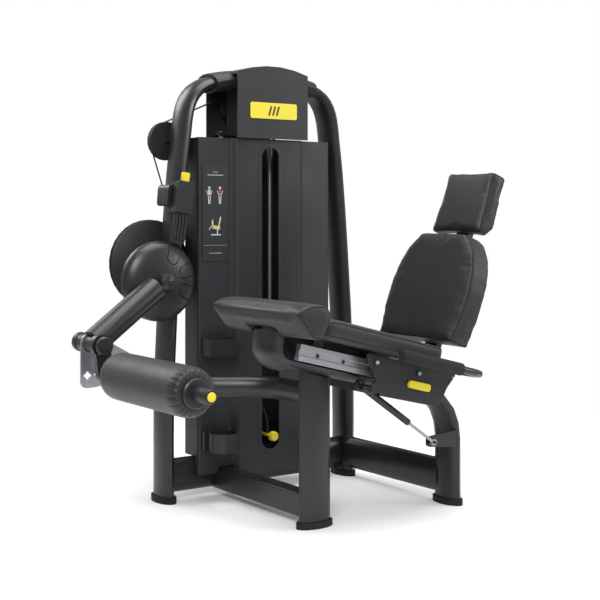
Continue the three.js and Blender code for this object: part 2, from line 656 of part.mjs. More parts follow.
function addBearing() {
  const barrel = rodY(46, -52, 60, PIVOT.x, PIVOT.z);
  const web = box(PIVOT.x, -LEG_X + 8, -40, 40, PIVOT.z - 34, PIVOT.z + 34);
  addPart('bearing_housing', cut(join(barrel, web), shaftBore(-60, 70), archTube(-1, GAP)), framePaint());
}

function camGeometry() {
  const half = CAM.thick / 2;
  const { radius, groove, y } = CAM;
  const wheel = turnedY([
    [0, y - half], [radius - 4, y - half], [radius, y - half + 3], [radius, y - 8], [groove, y - 5],
    [groove, y + 5], [radius, y + 8], [radius, y + half - 3], [radius - 4, y + half], [0, y + half],
  ], CAM.x, CAM.z, 30);
  return cut(wheel, shaftBore(0, 200));
}

function armTube(grow) {
  const line = new THREE.LineCurve3(new THREE.Vector3(...ARM.inner), new THREE.Vector3(...ARM.outer));
  return sweep(oval(ARM.long + 2 * grow, ARM.thick + 2 * grow), line, 1, OVAL_ARC + 2);
}

// Domed cover round the shaft's near end, with three outlined seats on its rim for the range selector.
function hubGeometry() {
  const { radius, back, rim, front } = HUB;
  const dome = turnedY([
    [0, front], [radius - 70, front + 4], [radius - 34, rim - 24], [radius - 10, rim - 13], [radius, rim],
    [radius, back - 5], [radius - 4, back], [0, back],
  ], PIVOT.x, PIVOT.z, 32);
  const outline = (grow) => roundedPolygon([
    [-26 - grow, -20 - grow, 18], [80, -26 - grow, 4], [80, 26 + grow, 4], [-26 - grow, 20 + grow, 18],
  ]);
  const grooves = [65, 20, -22].map((degrees) => {
    const angle = THREE.MathUtils.degToRad(degrees);
    const reach = radius - 42;
    const core = plateXZ(outline(-1.2), front - 30, rim + 12, 4);
    const groove = cut(plateXZ(outline(1.2), front - 20, rim + 2, 4), core).rotateY(-angle);
    return groove.translate(PIVOT.x + reach * Math.cos(angle), 0, PIVOT.z + reach * Math.sin(angle));
  });
  const boss = turnedY([
    [0, front - 34], [10, front - 34], [26, front - 26], [34, front - 4], [34, front + 6], [0, front + 6],
  ], PIVOT.x, PIVOT.z);
  const shaft = rodY(SHAFT, back - 8, CAM.y + 14, PIVOT.x, PIVOT.z, 16);
  return cut(join(cut(dome, ...grooves), boss, shaft), armTube(GAP));
}

// A sector below the cross tube, with lobed index holes on an arc round it.
function indexPlateGeometry() {
  const { y, thick, radius, hole, edge } = INDEX_PLATE;
  const toRad = THREE.MathUtils.degToRad;
  const shape = new THREE.Shape();
  shape.moveTo(-edge, 0);
  shape.lineTo(-edge, -radius + 20);
  shape.quadraticCurveTo(-edge, -radius, -edge / 3, -radius);
  shape.absarc(0, 0, radius, toRad(-93), toRad(-16));
  shape.absarc(0, 0, edge, toRad(40), toRad(180));
  for (const degrees of [-97, -76.5, -56, -35.5]) {
    const angle = toRad(degrees);
    const lobes = Array.from({ length: 16 }, (_, i) => {
      const turn = (i * Math.PI) / 8;
      const reach = 11 + 2.6 * Math.cos(4 * turn);
      return new THREE.Vector2(
        hole * Math.cos(angle) + reach * Math.cos(turn), hole * Math.sin(angle) + reach * Math.sin(turn));
    });
    shape.holes.push(new THREE.Path(lobes));
  }
  const plate = plateXZ(shape, y, y + thick, 8).translate(CROSS.x, 0, CROSS.z);
  return cut(plate, rodY(CROSS.radius + GAP, y - 10, y + 20, CROSS.x, CROSS.z), armTube(GAP));
}

function addLever() {
  addPart('cam_disc', camGeometry(), panelPaint());
  addPart('hub_cover', hubGeometry(), framePaint());
  const { radius, near, far, x, z } = CROSS;
  const arm = cut(armTube(0), rodY(radius + GAP, near - 20, far + 60, x, z));
  addPart('lever_arm', arm, framePaint());
  addPart('cross_tube', turnedY([
    [0, near], [radius - 4, near], [radius + 1, near + 5], [radius + 1, near + 12], [radius, near + 13],
    [radius, far - 1], [radius + 3, far], [radius + 3, far + 18], [radius - 6, far + 25], [0, far + 25],
  ], x, z), framePaint());
  addPart('index_plate', indexPlateGeometry(), brushedMetal());
}

// ---- shin roller --------------------------------------------------------------------------------------------
// The swing arm, with the roller's axle and the index pin fixed in it.
function swingArmGeometry() {
  const { x, z } = ROLLER;
  const y0 = CROSS.near + 14;
  const y1 = CROSS.near + 36;
  const half = 26;
  const strap = roundedPolygon([
    [x - half, z - 28, 22], [x + half, z - 28, 22],
    [CROSS.x + half, CROSS.z, 4], [CROSS.x - half, CROSS.z, 4],
  ]);
  const collar = rodY(CROSS.radius + 8, y0, y1, CROSS.x, CROSS.z);
  const bore = rodY(CROSS.radius + 2.2, y0 - 10, y1 + 10, CROSS.x, CROSS.z);
  const axle = rodY(ROLLER.axle, AXLE_END, y1 - 1, x, z, 16);
  const pinAngle = THREE.MathUtils.degToRad(-76.5);
  const pin = rodY(6, y1 - 1, INDEX_PLATE.y - 3,
    CROSS.x + INDEX_PLATE.hole * Math.cos(pinAngle), CROSS.z + INDEX_PLATE.hole * Math.sin(pinAngle), 12);
  return join(cut(join(plateXZ(strap, y0, y1, 4), collar), bore), axle, pin);
}

function addRoller() {
  const { x, z, radius, far, near } = ROLLER;
  const bore = ROLLER.axle + GAP;
  addPart('swing_arm', swingArmGeometry(), framePaint());
  addPart('roller_pad', turnedY([
    [bore, near], [radius - 16, near], [radius - 5, near + 8], [radius, near + 28], [radius, far - 22],
    [radius - 6, far - 6], [radius - 18, far], [bore, far], [bore, near],
  ], x, z, 24), upholstery());

  const face = near - GAP;
  const { end, recess } = KNOB;
  addPart('roller_knob', turnedY([
    [0, end + 12], [recess, end + 12], [recess, end], [recess + 4, end], [recess + 7, end + 4],
    [recess + 7, face - 10], [38, face - 10], [43, face - 6], [43, face], [bore, face],
    [bore, AXLE_END - GAP], [0, AXLE_END - GAP],
  ], x, z), blackPlastic());
  const button = recess - GAP * 2;
  addPart('release_button', turnedY([
    [0, end - 5], [button - 3, end - 5], [button, end - 2], [button, end + 3], [0, end + 3],
  ], x, z, 20), yellowPlastic());
}

// ---- range selector -----------------------------------------------------------------------------------------
const onSelector = (geometry) =>
  geometry.rotateY(SELECTOR.lean).translate(SELECTOR.x, SELECTOR.y, SELECTOR.z);

function addSelector() {
  const { wide, long } = SELECTOR;
  const half = wide / 2;
  const { low, high, wall } = CLAMP;
  const lug = roundedPolygon([[-414, 1000, 14], [-366, 1000, 8], [-362, 1072, 8], [-408, 1072, 14]]);
  const recesses = [[-391, 1022], [-387, 1050]].map(([x, z]) => rodY(8, -100, -72, x, z, 12));
  const sleeve = onSelector(box(-8, half + wall, -10, 94, low, high));
  const housing = onSelector(box(-half - wall, half + wall, -18, 14, low, high));
  const channel = onSelector(box(-half - 0.5, half + 0.5, -10.5, 5.5, low - 10, high + 10));
  const clamp = join(cut(plateXZ(lug, -80, -8, 4), ...recesses), sleeve, housing);
  addPart('selector_clamp', cut(clamp, archTube(-1, GAP), channel), framePaint());

  const top = long / 2;
  const ribs = [-1.5, -0.5, 0.5, 1.5].map((i) => {
    const middle = (i * wide) / 4;
    return box(middle - 4, middle + 4, -10, 0, -top + 24, top - 8);
  });
  const body = join(box(-half, half, -5, 5, -top + 16, top), box(-15, 15, -5, 5, -top, -top + 20), ...ribs);
  const rimClear = rodY(HUB.radius + 2, HUB.front - 20, HUB.back, PIVOT.x, PIVOT.z, 32);
  addPart('range_selector', cut(onSelector(body), rimClear), blackPlastic());
  const button = roundedPolygon([
    [-13, top + GAP, 2], [13, top + GAP, 2], [13, top + 30, 6], [-13, top + 30, 6],
  ]);
  addPart('selector_button', onSelector(plateXZ(button, -8, 5, 3)), yellowPlastic());
}

// ---- seat back ----------------------------------------------------------------------------------------------
// Laid out against the pad's face: x runs backwards from it and z runs up it.
const backGroup = new THREE.Group();
backGroup.position.set(BACK.x, SEAT_Y, BACK.z);
backGroup.rotation.y = BACK_SLOPE;
machine.add(backGroup);
const inBackFrame = (geometry) => geometry.rotateY(BACK_SLOPE).translate(BACK.x, SEAT_Y, BACK.z);

function carriageGeometry() {
  const { offset, thick, pad } = CARRIAGE;
  const outline = roundedPolygon([
    [216, 42, 16], [302, -75, 14], [548, -75, 22], [567, -10, 8], [589, 26, 6], [530, 38, 10],
  ]);
  const outside = offset + thick / 2;
  const plates = [-1, 1].map((side) => plateXZ(outline, side * offset - thick / 2, side * offset + thick / 2, 4));
  const over = box(470, 592, -outside, outside, 28, 42);
  const under = box(500, 530, -outside, outside, -75, -60);
  const handleTab = box(560, HANDLE.end + 12, -28, 28, 30, HANDLE.rise - HANDLE.radius - GAP);
  const [pinS, pinH] = SPRING.pin;
  const lug = rodY(18, -outside, -outside + thick, pinS, pinH, 16);
  const springPin = rodY(6, -outside + 2, SPRING.y - SEAT_Y + 10, pinS, pinH, 12);
  const bolts = [[261, 20], [437, 16]].flatMap(([s, h]) => [
    rodY(9, -outside - 5, -outside + 1, s, h, 12),
    rodY(9, outside - 1, outside + 5, s, h, 12),
  ]);
  const low = inSeatFrame(join(...plates, over, under, handleTab, lug, springPin, ...bolts));
  const spine = inBackFrame(box(pad, pad + 22, -30, 30, -112, HEAD.low + 86));
  return join(low, spine);
}

// A pad outline from its half-widths: each entry is [height up the face, half-width].
const padOutline = (widths) =>
  polygon([...widths.map(([z, half]) => [half, z]), ...[...widths].reverse().map(([z, half]) => [-half, z])]);

function addSeatBack() {
  addPart('carriage_frame', carriageGeometry(), framePaint());
  const back = padOutline([
    [-12, 184], [100, 200], [166, 202], [230, 194], [290, 174], [324, 152], [350, 128], [366, 102],
  ]);
  addPart('backrest', plateYZ(back, 0, CARRIAGE.pad - GAP), upholstery(), backGroup);

  const { low, high, front, thick, half, taper } = HEAD;
  const side = polygon([
    [front, low], [front + thick - 24, low], [front + thick, low + 34], [front + thick, high],
    [front, high],
  ]);
  const trim = padOutline([[low, half], [high, half - taper]]);
  const outline = toGeometry(solid(plateXZ(side, -half, half)).intersect(solid(plateYZ(trim, 0, 200))));
  const channel = box(CARRIAGE.pad - GAP, front + thick + 10, -30 - GAP, 30 + GAP, low - 10, low + 86 + GAP);
  addPart('headrest', cut(outline, channel), upholstery(), backGroup);
}

// ---- handles ------------------------------------------------------------------------------------------------
function addHandles() {
  const { offset, rise, start, end, radius } = HANDLE;
  const line = bentPath(
    [[start, -offset, rise], [end, -offset, rise], [end, offset, rise], [start, offset, rise]],
    [60, 60],
  );
  addPart('handle_bar', sweep(circle(radius), line, 30, 5), framePaint(), seatGroup);
  const { grip } = HANDLE;
  const bore = radius + GAP;
  const sleeve = () => turnedY([
    [0, start - 10], [grip - 4, start - 10], [grip, start - 5], [grip, 540], [bore, 540],
    [bore, start - GAP], [0, start - GAP],
  ], 0, 0, 16).rotateZ(-Math.PI / 2);
  for (const [name, side] of [['grip_near', -1], ['grip_far', 1]]) {
    addPart(name, sleeve().translate(0, side * offset, rise), blackRubber(), seatGroup);
  }
  const [s, h] = CARRIAGE.lever;
  const near = -CARRIAGE.offset - CARRIAGE.thick / 2 - GAP;
  const handle = roundedPolygon([
    [s - 12, h - 12, 10], [s + 78, h - 12, 10], [s + 78, h + 12, 10], [s - 12, h + 12, 10],
  ]);
  addPart('carriage_lever', plateXZ(handle, near - 10, near, 4), yellowPlastic(), seatGroup);
}

// ---- gas spring ---------------------------------------------------------------------------------------------
// Laid out from its upper eye at the origin, with x down towards the foot.
function addGasSpring() {
  const upper = seatPoint(...SPRING.pin);
  const reach = new THREE.Vector2(SPRING.foot[0] - upper[0], SPRING.foot[1] - upper[1]);
  const inSpring = (geometry) => geometry.rotateY(-reach.angle()).translate(upper[0], SPRING.y, upper[1]);
  const alongX = (profile) => turnedY(profile, 0, 0, 16).rotateZ(-Math.PI / 2);
  const { body, rod, tube } = SPRING;
  const bore = rod + GAP;
  const barrel = alongX([[0, 14], [body, 14], [body, tube], [bore, tube], [bore, 26], [0, 26]]);
  const upperEye = rodY(18, -6, 6, 0, 0, 16);
  addPart('gas_cylinder', inSpring(cut(join(barrel, upperEye), rodY(11, -20, 20, 0, 0, 16))), blackRubber());
  const length = reach.length();
  const stem = alongX([[0, 32], [rod, 32], [rod, length - 7], [0, length - 7]]);
  const lowerEye = rodY(11, -5, 5, length, 0, 16);
  const pinHole = rodY(5 + GAP, -20, 20, length, 0, 16);
  addPart('gas_rod', inSpring(cut(join(stem, lowerEye), pinHole)), brushedMetal());
}

// ---- build --------------------------------------------------------------------------------------------------
addFrame();
addFeet();
addSeatFrame();
addCushions();
addTower();
addCover();
addStack();
addPulleys();
addBearing();
addLever();
addRoller();
addSelector();
addSeatBack();
addHandles();
addGasSpring();

// The origin is on the floor, under the middle of the machine.
machine.updateMatrixWorld(true);
const extent = new THREE.Box3().setFromObject(machine);
const middle = extent.getCenter(new THREE.Vector3());
machine.position.set(-middle.x, -middle.y, -extent.min.z);

export default machine;
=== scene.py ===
"""Leg extension machine: the looks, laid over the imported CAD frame. Metres, in the frame's own axes."""
import json
import math

import bmesh
import bpy
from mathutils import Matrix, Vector
from mathutils.bvhtree import BVHTree


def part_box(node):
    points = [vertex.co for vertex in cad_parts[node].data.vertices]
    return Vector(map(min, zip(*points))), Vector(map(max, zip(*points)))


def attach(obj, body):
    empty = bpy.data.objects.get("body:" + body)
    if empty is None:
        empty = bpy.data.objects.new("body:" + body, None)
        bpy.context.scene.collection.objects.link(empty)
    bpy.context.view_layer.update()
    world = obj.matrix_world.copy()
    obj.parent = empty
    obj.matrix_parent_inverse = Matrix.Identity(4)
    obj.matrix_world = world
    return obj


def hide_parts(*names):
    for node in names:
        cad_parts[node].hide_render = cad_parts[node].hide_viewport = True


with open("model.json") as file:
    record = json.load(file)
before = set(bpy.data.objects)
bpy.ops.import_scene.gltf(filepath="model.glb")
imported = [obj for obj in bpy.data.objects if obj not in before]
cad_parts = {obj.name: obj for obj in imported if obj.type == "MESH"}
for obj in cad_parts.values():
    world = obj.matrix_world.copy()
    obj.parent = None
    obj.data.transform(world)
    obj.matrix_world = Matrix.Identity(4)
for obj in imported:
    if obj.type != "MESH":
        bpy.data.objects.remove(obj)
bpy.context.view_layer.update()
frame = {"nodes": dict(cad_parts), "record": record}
SCENE = bpy.context.scene
NODES = frame["nodes"]
MM = 0.001
RIGHT = Vector((1, 0, 0))
UP = Vector((0, 0, 1))
NEAR = Vector((0, -1, 0))  # out of the tower's front
FAR = Vector((0, 1, 0))


# ---- places worked out from the frame ------------------------------------------------------------
def middle(node):
    """Centre of a CAD node's box."""
    low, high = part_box(node)
    return (low + high) / 2


STACK_X = middle("weight_plates").x  # the machine's own centre line
ARCH_Y = middle("base_beam").y
SEAT_SLOPE = math.radians(14)
RAIL_HALF = 25 * MM  # half the height of a seat rail
SEAT_PAD = {"low": 58 * MM, "high": 110 * MM}  # above the rails' centre line
FACET_TURN = math.atan2(-3, 127)  # the tower's left facet, turned from the X axis
SLOT = {"half": 36 * MM, "low": 147 * MM, "high": 1207 * MM}  # the opening in the tower's front
WELD = 0.05 * MM  # corners closer than this are one corner
CAMERA = {"lens": 72.9, "shift": -0.1417, "left": 2.392, "near": 3.626, "height": 0.970, "turn": 35.4}


def seat_point(along, off, y):
    """A point beside the seat rails: along their slope from the front end, and off their centre line."""
    low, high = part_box("rail_near")
    x = low.x + RAIL_HALF * math.sin(SEAT_SLOPE) + along * math.cos(SEAT_SLOPE) + off * math.sin(SEAT_SLOPE)
    z = high.z - RAIL_HALF * math.cos(SEAT_SLOPE) - along * math.sin(SEAT_SLOPE) + off * math.cos(SEAT_SLOPE)
    return Vector((x, y, z))


# ---- camera --------------------------------------------------------------------------------------
def add_camera():
    """A level camera left of and in front of the seat, framed low by lens shift."""
    data = bpy.data.cameras.new("camera")
    data.sensor_width = 36
    data.lens = CAMERA["lens"]
    data.shift_y = CAMERA["shift"]
    camera = bpy.data.objects.new("camera", data)
    camera.location = (STACK_X - CAMERA["left"], ARCH_Y - CAMERA["near"], CAMERA["height"])
    camera.rotation_euler = (math.radians(90), 0, math.radians(-CAMERA["turn"]))
    SCENE.collection.objects.link(camera)
    SCENE.camera = camera


# ---- small builders ------------------------------------------------------------------------------
def add_mesh(name, verts, faces, body, material, smooth=False):
    """A piece made from its vertices and faces, riding on a body."""
    mesh = bpy.data.meshes.new(name)
    mesh.from_pydata([tuple(v) for v in verts], [], faces)
    mesh.update()
    piece = bpy.data.objects.new(name, mesh)
    SCENE.collection.objects.link(piece)
    mesh.materials.append(material)
    for face in mesh.polygons:
        face.use_smooth = smooth
    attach(piece, body)
    return piece


def frame_of(axis):
    """An axis at length 1, and two directions square to it and to each other."""
    axis = Vector(axis).normalized()
    helper = UP if abs(axis.z) < 0.9 else RIGHT
    across = axis.cross(helper).normalized()
    return axis, across, axis.cross(across)


def turned(name, at, axis, profile, body, material, sides=32):
    """A turned piece: the profile lists (radius, distance along), and starts and ends on the axis."""
    axis, across, up = frame_of(axis)
    verts, faces = [], []
    for radius, along in profile:
        for i in range(sides):
            angle = 2 * math.pi * i / sides
            spoke = across * math.cos(angle) + up * math.sin(angle)
            verts.append(Vector(at) + axis * along + spoke * radius)
    for ring in range(len(profile) - 1):
        for i in range(sides):
            j = (i + 1) % sides
            low, high = ring * sides, (ring + 1) * sides
            faces.append((low + i, low + j, high + j, high + i))
    return add_mesh(name, verts, faces, body, material, smooth=True)


def add_curve(name, lines, radius, resolution, material):
    """A round cord laid along each line of points."""
    data = bpy.data.curves.new(name, "CURVE")
    data.dimensions = "3D"
    data.bevel_depth = radius
    data.bevel_resolution = resolution
    for points in lines:
        spline = data.splines.new("POLY")
        spline.points.add(len(points) - 1)
        for target, point in zip(spline.points, points):
            target.co = (*point, 1)
    data.materials.append(material)
    cord = bpy.data.objects.new(name, data)
    SCENE.collection.objects.link(cord)
    return cord


def bolt(name, at, axis, radius, body, material):
    """A domed socket screw standing on a face at a point."""
    socket = radius * 0.45
    profile = [
        (0, radius * 0.25), (socket, radius * 0.25), (socket, radius * 0.62), (radius * 0.75, radius * 0.55),
        (radius, radius * 0.2), (radius, 0), (0, 0),
    ]
    return turned(name, at, axis, profile, body, material, sides=20)


# ---- materials -----------------------------------------------------------------------------------
SLOW_SCALE = 7.0  # noise cells per metre for the slow change in shade
PATCH_SCALE = 60.0  # and for the patches of wear along an edge
GLOSS_DRIFT = 0.12


def link(tree, source, target):
    """Joins an output of one node to an input of another."""
    tree.links.new(source, target)


def add_node(tree, kind, **values):
    """A node with some of its input values set."""
    node = tree.nodes.new(kind)
    for key, value in values.items():
        node.inputs[key.replace("_", " ")].default_value = value
    return node


def noise(tree, place, scale, detail=3.0):
    """Soft noise of a given fineness, from 0 to 1."""
    node = add_node(tree, "ShaderNodeTexNoise", Scale=scale, Detail=detail)
    link(tree, place, node.inputs["Vector"])
    return node.outputs["Fac"]


def spread(tree, value, low, high):
    """Maps the middle of a noise value's range to another range."""
    node = add_node(tree, "ShaderNodeMapRange", From_Min=0.3, From_Max=0.7, To_Min=low, To_Max=high)
    link(tree, value, node.inputs["Value"])
    return node.outputs["Result"]


def mix_colour(tree, factor, first, second):
    """A blend of two colours, each a plain colour or another node's output."""
    node = tree.nodes.new("ShaderNodeMix")
    node.data_type = "RGBA"
    link(tree, factor, node.inputs["Factor"])
    for socket, value in (("A", first), ("B", second)):
        target = next(s for s in node.inputs if s.name == socket and s.type == "RGBA")
        if isinstance(value, bpy.types.NodeSocket):
            link(tree, value, target)
        else:
            target.default_value = (*value, 1)
    return next(s for s in node.outputs if s.type == "RGBA")


def edge_mask(tree, radius):
    """Close to 1 along worn edges, 0 on open faces, and the rounded normal that goes with it."""
    rounded = add_node(tree, "ShaderNodeBevel", Radius=radius)
    rounded.samples = 4
    plain = tree.nodes.new("ShaderNodeNewGeometry")
    dot = tree.nodes.new("ShaderNodeVectorMath")
    dot.operation = "DOT_PRODUCT"
    link(tree, rounded.outputs["Normal"], dot.inputs[0])
    link(tree, plain.outputs["Normal"], dot.inputs[1])
    mask = add_node(tree, "ShaderNodeMapRange", From_Min=0.97, From_Max=0.80)
    link(tree, dot.outputs["Value"], mask.inputs["Value"])
    return mask.outputs["Result"], rounded.outputs["Normal"]


def surface(name, colour, roughness, metallic=0.0, grain=900.0, relief=0.15, drift=0.12, worn=None,
            edge=1.2 * MM, stretch=(1, 1, 1), specular=0.5, sheen=0.0):
    """A finish with fine grain, slow drift in shade and gloss, rounded edges and, where asked, worn edges."""
    material = bpy.data.materials.new(name)
    material.use_nodes = True
    tree = material.node_tree
    shader = tree.nodes["Principled BSDF"]
    shader.inputs["Metallic"].default_value = metallic
    shader.inputs["Specular IOR Level"].default_value = specular
    shader.inputs["Sheen Weight"].default_value = sheen
    where = tree.nodes.new("ShaderNodeTexCoord")
    scaled = add_node(tree, "ShaderNodeMapping", Scale=stretch)
    link(tree, where.outputs["Object"], scaled.inputs["Vector"])
    place = scaled.outputs["Vector"]
    slow = noise(tree, place, SLOW_SCALE, detail=4.0)
    fine = noise(tree, place, grain)
    darker = tuple(c * (1 - drift) for c in colour)
    lighter = tuple(min(1, c * (1 + drift)) for c in colour)
    shade = mix_colour(tree, slow, darker, lighter)
    mask, normal = edge_mask(tree, edge)
    if worn is not None:
        patchy = tree.nodes.new("ShaderNodeMath")
        patchy.operation = "MULTIPLY"
        link(tree, mask, patchy.inputs[0])
        link(tree, spread(tree, noise(tree, place, PATCH_SCALE), 0.0, 0.7), patchy.inputs[1])
        shade = mix_colour(tree, patchy.outputs["Value"], shade, worn)
    link(tree, shade, shader.inputs["Base Color"])
    gloss = spread(tree, slow, roughness * (1 - GLOSS_DRIFT), roughness * (1 + GLOSS_DRIFT))
    link(tree, gloss, shader.inputs["Roughness"])
    bump = add_node(tree, "ShaderNodeBump", Strength=relief, Distance=0.6 * MM)
    link(tree, fine, bump.inputs["Height"])
    link(tree, normal, bump.inputs["Normal"])
    link(tree, bump.outputs["Normal"], shader.inputs["Normal"])
    return material


def leather():
    """Grained black upholstery: cells for the grain over a fine noise bump, with a slow drift in tone and
    gloss.
    """
    material = surface("upholstery", (0.013, 0.0135, 0.015), 0.5, grain=1400.0, relief=0.1, drift=0.2,
                       specular=0.35, sheen=0.06)
    tree = material.node_tree
    bump = next(n for n in tree.nodes if n.type == "BUMP")
    cells = add_node(tree, "ShaderNodeTexVoronoi", Scale=620.0)
    link(tree, tree.nodes["Mapping"].outputs["Vector"], cells.inputs["Vector"])
    grain = add_node(tree, "ShaderNodeBump", Strength=0.22, Distance=0.5 * MM)
    link(tree, cells.outputs["Distance"], grain.inputs["Height"])
    link(tree, bump.outputs["Normal"], grain.inputs["Normal"])
    link(tree, grain.outputs["Normal"], tree.nodes["Principled BSDF"].inputs["Normal"])
    return material


FINISHES = {
    "frame_paint": dict(colour=(0.010, 0.0112, 0.0135), roughness=0.36, grain=1500, relief=0.08,
                        worn=(0.07, 0.072, 0.077), specular=0.45),
    "panel_paint": dict(colour=(0.014, 0.016, 0.0185), roughness=0.5, grain=1100, relief=0.12,
                        worn=(0.06, 0.062, 0.066), specular=0.35),
    "black_rubber": dict(colour=(0.009, 0.009, 0.010), roughness=0.75, grain=700, relief=0.3, specular=0.3),
    "rail_aluminium": dict(colour=(0.40, 0.41, 0.43), roughness=0.38, metallic=0.9, relief=0.1,
                           stretch=(0.05, 1, 1)),
    "black_plastic": dict(colour=(0.011, 0.012, 0.014), roughness=0.42, grain=1600, specular=0.4),
    "yellow_plastic": dict(colour=(0.62, 0.51, 0.03), roughness=0.36, grain=1200, relief=0.06, drift=0.05,
                           specular=0.3),
    "bright_steel": dict(colour=(0.34, 0.35, 0.37), roughness=0.38, metallic=0.9, relief=0.08, drift=0.06),
    "dark_steel": dict(colour=(0.03, 0.031, 0.034), roughness=0.42, metallic=0.5, grain=1000, relief=0.12,
                       worn=(0.2, 0.2, 0.21)),
    "seam_thread": dict(colour=(0.008, 0.008, 0.009), roughness=0.7, grain=2500, relief=0.3, specular=0.2),
    "print": dict(colour=(0.42, 0.43, 0.45), roughness=0.5, grain=1200, relief=0.05, drift=0.04),
    "red_print": dict(colour=(0.32, 0.02, 0.025), roughness=0.5, grain=1200, relief=0.05, drift=0.04),
}


def make_materials():
    """Every finish by its name."""
    materials = {name: surface(name, **finish) for name, finish in FINISHES.items()}
    materials["upholstery"] = leather()
    return materials


def rounded_faces(angle=math.radians(38), weld=0.01 * MM):
    """A modifier's nodes: faces that meet at less than an angle shade as one, and corners stay sharp."""
    group = bpy.data.node_groups.new("rounded_faces", "GeometryNodeTree")
    for way in ("INPUT", "OUTPUT"):
        group.interface.new_socket("Geometry", in_out=way, socket_type="NodeSocketGeometry")
    merge = add_node(group, "GeometryNodeMergeByDistance", Distance=weld)
    smooth_faces = group.nodes.new("GeometryNodeSetShadeSmooth")
    smooth_faces.domain = "FACE"
    smooth_edges = group.nodes.new("GeometryNodeSetShadeSmooth")
    smooth_edges.domain = "EDGE"
    edge = group.nodes.new("GeometryNodeInputMeshEdgeAngle")
    shallow = add_node(group, "FunctionNodeCompare", B=angle)
    shallow.operation = "LESS_EQUAL"
    link(group, group.nodes.new("NodeGroupInput").outputs[0], merge.inputs["Geometry"])
    link(group, merge.outputs["Geometry"], smooth_faces.inputs["Geometry"])
    link(group, smooth_faces.outputs["Geometry"], smooth_edges.inputs["Geometry"])
    link(group, edge.outputs["Unsigned Angle"], shallow.inputs["A"])
    link(group, shallow.outputs["Result"], smooth_edges.inputs["Shade Smooth"])
    link(group, smooth_edges.outputs["Geometry"], group.nodes.new("NodeGroupOutput").inputs[0])
    return group


def paint_frame(materials):
    """Each CAD node takes its own slot's finish and a modifier for its shading; its mesh stays as it is."""
    slots = {part["node"]: part["material_slot"] for part in frame["record"]["subparts"]}
    rounding = rounded_faces()
    for name, node in NODES.items():
        node.data.materials.clear()
        node.data.materials.append(materials[slots[name]])
        node.modifiers.new("rounded_faces", "NODES").node_group = rounding


# ---- cord ----------------------------------------------------------------------------------------
def route_points(corners, cuts, steps=6, spacing=20 * MM):
    """A line through corner points, each inner corner rounded to its own cut-back distance."""
    corners = [Vector(c) for c in corners]
    points = [corners[0]]
    for i, cut in enumerate(cuts, start=1):
        corner = corners[i]
        start = corner + (corners[i - 1] - corner).normalized() * cut
        end = corner + (corners[i + 1] - corner).normalized() * cut
        straight = (start - points[-1]).length
        pieces = max(1, round(straight / spacing))
        points += [points[-1].lerp(start, (k + 1) / pieces) for k in range(pieces)]
        for k in range(1, steps + 1):
            t = k / steps
            points.append((1 - t) ** 2 * start + 2 * t * (1 - t) * corner + t * t * end)
    points.append(corners[-1])
    return points


def add_tether(materials, thick=9.8 * MM, aside=14 * MM, stand_off=44 * MM, pin_line=60 * MM):
    """The selector pin's tether, from the head plate's front face down to the pin's shank."""
    head_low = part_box("head_plate")[0]
    start = Vector((STACK_X - aside, head_low.y - 0.3 * MM, head_low.z + 18 * MM))
    end = Vector((STACK_X, ARCH_Y - pin_line, middle("selector_pin").z + 5.9 * MM))
    forward = head_low.y - stand_off
    corners = [
        start, (start.x, forward, start.z), (start.x, forward, end.z + 120 * MM),
        (end.x, end.y, end.z + 50 * MM), end,
    ]
    points = route_points(corners, [30 * MM, 50 * MM, 25 * MM])
    cord = add_curve("tether", [points], thick / 2, 4, materials["black_rubber"])
    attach(cord, "stack")
    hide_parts("pin_tether")


# ---- upholstery ----------------------------------------------------------------------------------
def welded(mesh):
    """A mesh's shape with its corners joined up."""
    shape = bmesh.new()
    shape.from_mesh(mesh)
    bmesh.ops.remove_doubles(shape, verts=shape.verts, dist=WELD)
    return shape


def welded_copy(node, name):
    """A copy of a CAD node's mesh with its corners joined up."""
    mesh = NODES[node].data.copy()
    piece = bpy.data.objects.new(name, mesh)
    SCENE.collection.objects.link(piece)
    shape = welded(mesh)
    shape.to_mesh(mesh)
    shape.free()
    return piece


def bake(piece):
    """Turns a piece's modifiers into its mesh."""
    graph = bpy.context.evaluated_depsgraph_get()
    mesh = bpy.data.meshes.new_from_object(piece.evaluated_get(graph))
    piece.modifiers.clear()
    old = piece.data
    piece.data = mesh
    bpy.data.meshes.remove(old)


def add_modifier(piece, kind, **values):
    """A modifier with some of its settings."""
    modifier = piece.modifiers.new(kind.lower(), kind)
    for key, value in values.items():
        setattr(modifier, key, value)
    return modifier


def inflate(piece, pressure, reach, frames=20):
    """Fills the cover with air as cloth, and keeps each point within reach of where it started."""
    rest = [vertex.co.copy() for vertex in piece.data.vertices]
    cloth = add_modifier(piece, "CLOTH").settings
    cloth.quality = 5
    cloth.mass = 0.3
    cloth.tension_stiffness = 20
    cloth.compression_stiffness = 20
    cloth.bending_stiffness = 2
    cloth.use_pressure = True
    cloth.uniform_pressure_force = pressure
    cloth.effector_weights.gravity = 0
    for step in range(1, frames + 1):
        SCENE.frame_set(step)
    bake(piece)
    SCENE.frame_set(1)
    for vertex, start in zip(piece.data.vertices, rest):
        move = vertex.co - start
        if move.length > reach:
            move *= reach / move.length
        vertex.co = start + move


def keep_inside(piece, node):
    """Brings every point inside the CAD node's own box."""
    low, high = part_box(node)
    for vertex in piece.data.vertices:
        vertex.co = Vector(min(max(c, a), b) for c, a, b in zip(vertex.co, low, high))


